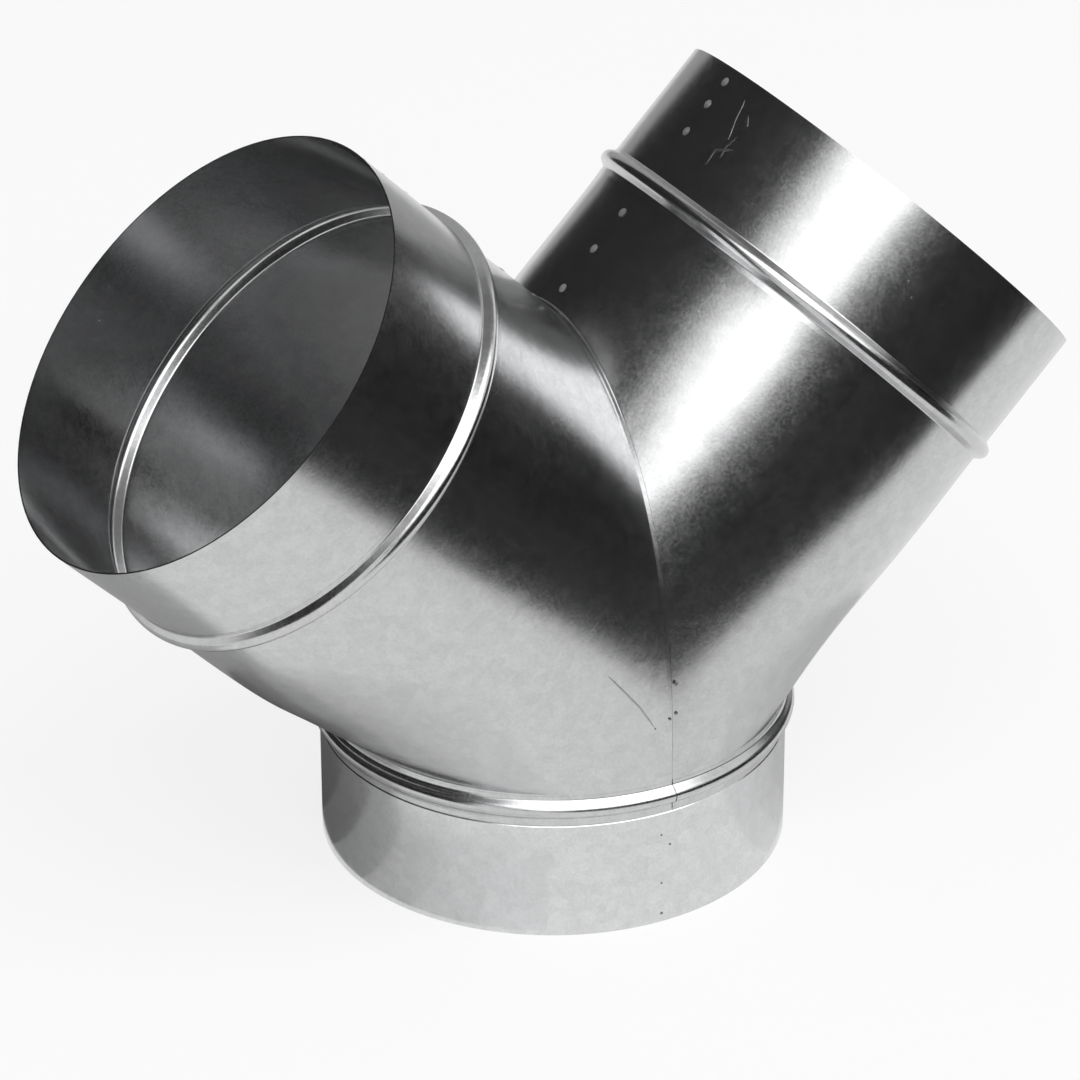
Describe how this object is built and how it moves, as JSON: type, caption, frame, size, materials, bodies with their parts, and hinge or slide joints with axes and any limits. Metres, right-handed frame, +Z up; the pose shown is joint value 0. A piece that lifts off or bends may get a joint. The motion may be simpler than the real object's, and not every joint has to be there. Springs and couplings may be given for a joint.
{
  "type": "duct y branch",
  "caption": "Round sheet-steel duct branch: two equal legs lean 45 degrees each way from one upright spigot, each of the three ends a plain spigot with a rolled stop bead.",
  "frame": {"origin": "centre of the base spigot's rim", "axes": "+Z up the base spigot's axis; the two legs lean towards +X and -X in the XZ plane"},
  "size_m": [0.4564, 0.2062, 0.3275],
  "materials": {
    "galvanised_sheet": "satin"
  },
  "bodies": {
    "root": {"left_leg": "galvanised_sheet", "right_leg": "galvanised_sheet", "base_collar": "galvanised_sheet"}
  },
  "joints": []
}
